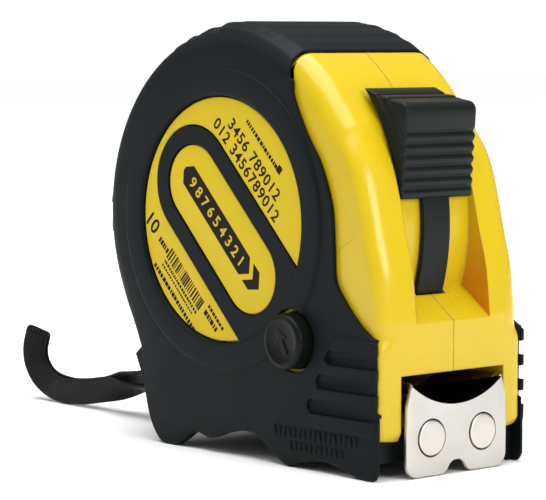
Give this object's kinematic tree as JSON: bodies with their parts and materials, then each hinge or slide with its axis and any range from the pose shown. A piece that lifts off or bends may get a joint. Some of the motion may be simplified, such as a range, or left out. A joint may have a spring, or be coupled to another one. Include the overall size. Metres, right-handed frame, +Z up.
{
  "type": "tape measure",
  "caption": "Hand tape measure: round rubber-clad yellow case, thumb lock, side brake button, wide bowed blade, magnetic end hook, belt clip and wrist strap.",
  "frame": {"origin": "on the floor under the middle of the case's box, without the wrist strap", "axes": "+X out of the mouth, the way the blade is pulled; +Y to the belt-clip side; +Z up"},
  "size_m": [0.1512, 0.0529, 0.0924],
  "materials": {
    "shell_yellow": "moulded ABS, satin gloss",
    "grip_rubber": "soft-touch overmoulded rubber",
    "black_plastic": "moulded, fine texture",
    "label_print": "printed vinyl sticker",
    "hook_steel": "nickel-plated steel",
    "dark_steel": "oiled spring steel",
    "blade_paint": "lacquered yellow steel ribbon",
    "webbing": "woven nylon webbing"
  },
  "bodies": {
    "case": {"case_shell_left": "shell_yellow", "case_shell_right": "shell_yellow", "rubber_grip_left": "grip_rubber", "rubber_grip_right": "grip_rubber", "chin_guard": "black_plastic", "button_retainer": "black_plastic", "strap_end_tab": "black_plastic", "label_ring_left": "label_print", "label_pill_left": "label_print", "label_right": "label_print", "belt_clip": "hook_steel", "strap_pin": "hook_steel", "axle_post": "hook_steel", "button_spring": "dark_steel", "case_screw_1": "dark_steel", "case_screw_2": "dark_steel", "case_screw_3": "dark_steel", "axle_screw": "dark_steel", "belt_clip_screw": "dark_steel", "main_spring": "dark_steel", "wrist_strap": "webbing"},
    "lock": {"lock_slider": "black_plastic", "lock_tongue": "black_plastic", "lock_brake_pad": "grip_rubber"},
    "reel": {"reel_drum": "black_plastic", "reel_flange_left": "black_plastic", "reel_flange_right": "black_plastic", "blade_coil": "blade_paint"},
    "blade": {"blade_run": "blade_paint", "hook_rivet_1": "dark_steel", "hook_rivet_2": "dark_steel", "hook_rivet_3": "dark_steel"},
    "hook": {"end_hook": "hook_steel", "magnet_left": "hook_steel", "magnet_right": "hook_steel"},
    "button": {"side_button": "black_plastic", "brake_shoe": "grip_rubber"}
  },
  "joints": [
    {"name": "lock_thumb", "type": "hinge", "parent": "case", "child": "lock", "pos_m": [-0.00445, -0.0021, 0.0504], "axis": [0, 1, 0], "range_deg": [0, 9.8]},
    {"name": "reel_spin", "type": "hinge", "parent": "case", "child": "reel", "pos_m": [-0.00445, -0.0021, 0.0504], "axis": [0, -1, 0], "range_deg": [0, 111.3], "stiffness_Nm_per_rad": 0.004},
    {"name": "blade_pull", "type": "slide", "parent": "case", "child": "blade", "axis": [1, 0, 0], "range_m": [0, 0.055]},
    {"name": "hook_play", "type": "slide", "parent": "blade", "child": "hook", "axis": [1, 0, 0], "range_m": [0, 0.001]},
    {"name": "side_brake", "type": "slide", "parent": "case", "child": "button", "axis": [0, 1, 0], "range_m": [0, 0.002], "stiffness_N_per_m": 600, "deforming": ["button_spring"]}
  ],
  "couplings": [
    {"joint": "blade_pull", "follows": "reel_spin", "m_per_rad": 0.0283}
  ]
}
